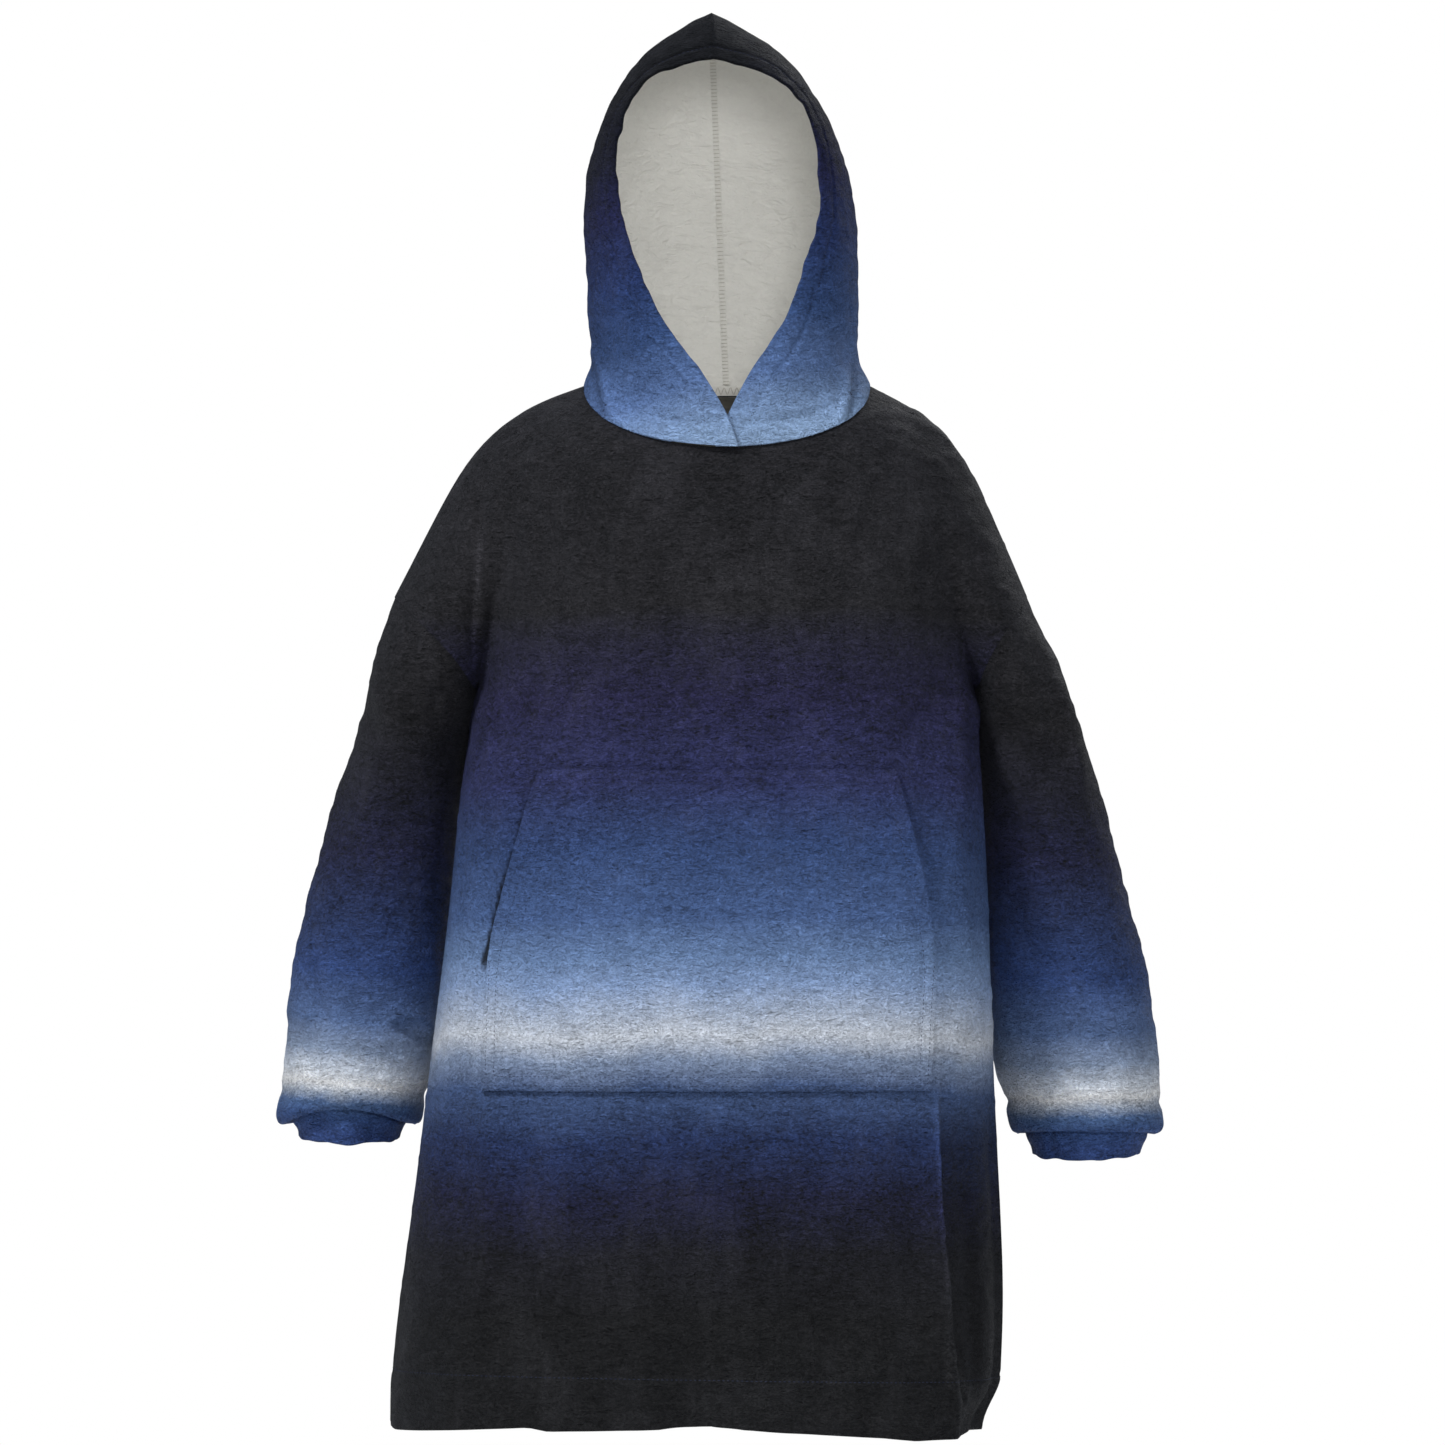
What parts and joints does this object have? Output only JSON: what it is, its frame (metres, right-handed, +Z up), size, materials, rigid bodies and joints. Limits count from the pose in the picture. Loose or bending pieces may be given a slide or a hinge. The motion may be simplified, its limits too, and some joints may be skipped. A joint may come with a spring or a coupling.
{
  "type": "blanket hoodie",
  "caption": "Oversized pull-on fleece hoodie with a lapped hood, dropped shoulders, wide sleeves gathered to cuffs and a kangaroo pocket, filled out as when worn.",
  "frame": {"origin": "middle of the neck base between the shoulders, where the wearer holds the garment up", "axes": "+Z up, +Y from the front of the garment to its back, +X across it to the wearer's left"},
  "size_m": [0.8022, 0.3593, 1.277],
  "materials": {
    "fleece_body": "short plush pile, charcoal with a dyed navy to pale blue band",
    "fleece_sleeve": "short plush pile, charcoal to blue",
    "fleece_hood": "short plush pile, navy to mid blue, with a cream lining side",
    "fleece_pocket": "short plush pile, blue to pale blue"
  },
  "bodies": {
    "root": {"front": "fleece_body", "back": "fleece_body", "sleeve_left": "fleece_sleeve", "sleeve_right": "fleece_sleeve", "cuff_left": "fleece_sleeve", "cuff_right": "fleece_sleeve", "hood_left": "fleece_hood", "hood_right": "fleece_hood", "pocket": "fleece_pocket"}
  },
  "joints": []
}
